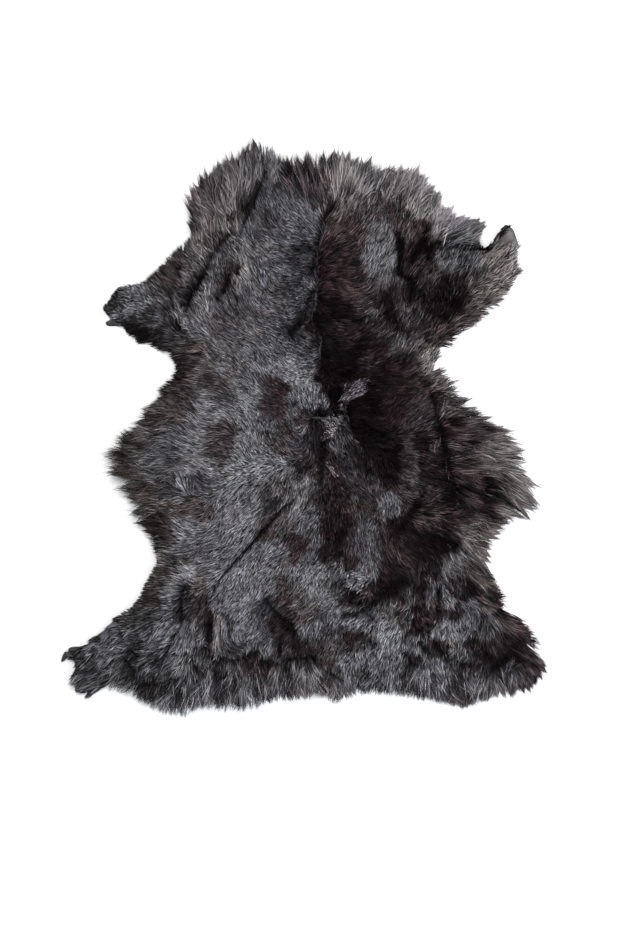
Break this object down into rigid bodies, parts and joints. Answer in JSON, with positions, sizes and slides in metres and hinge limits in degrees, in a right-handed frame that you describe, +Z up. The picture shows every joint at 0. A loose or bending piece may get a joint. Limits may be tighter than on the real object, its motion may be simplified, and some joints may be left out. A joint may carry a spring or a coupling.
{
  "type": "sheepskin",
  "caption": "Whole dark grey-brown sheepskin laid flat with its wool up: short plush back, long fringe at neck and rump, nearly bare leg ends.",
  "frame": {"origin": "middle of the skin's length and width, on the surface it lies on", "axes": "+Z up out of the wool, +Y towards the neck, +X towards the skin's right-hand edge as seen from above with the neck at the top"},
  "size_m": [0.854, 1.003, 0.0348],
  "materials": {
    "wool": "dense soft wool pile with a cool satin sheen, short on the back and long at the edges",
    "leather": "dark dyed suede on the flesh side, smooth and hard at the leg ends"
  },
  "bodies": {
    "root": {"sheepskin": "wool"}
  },
  "joints": []
}
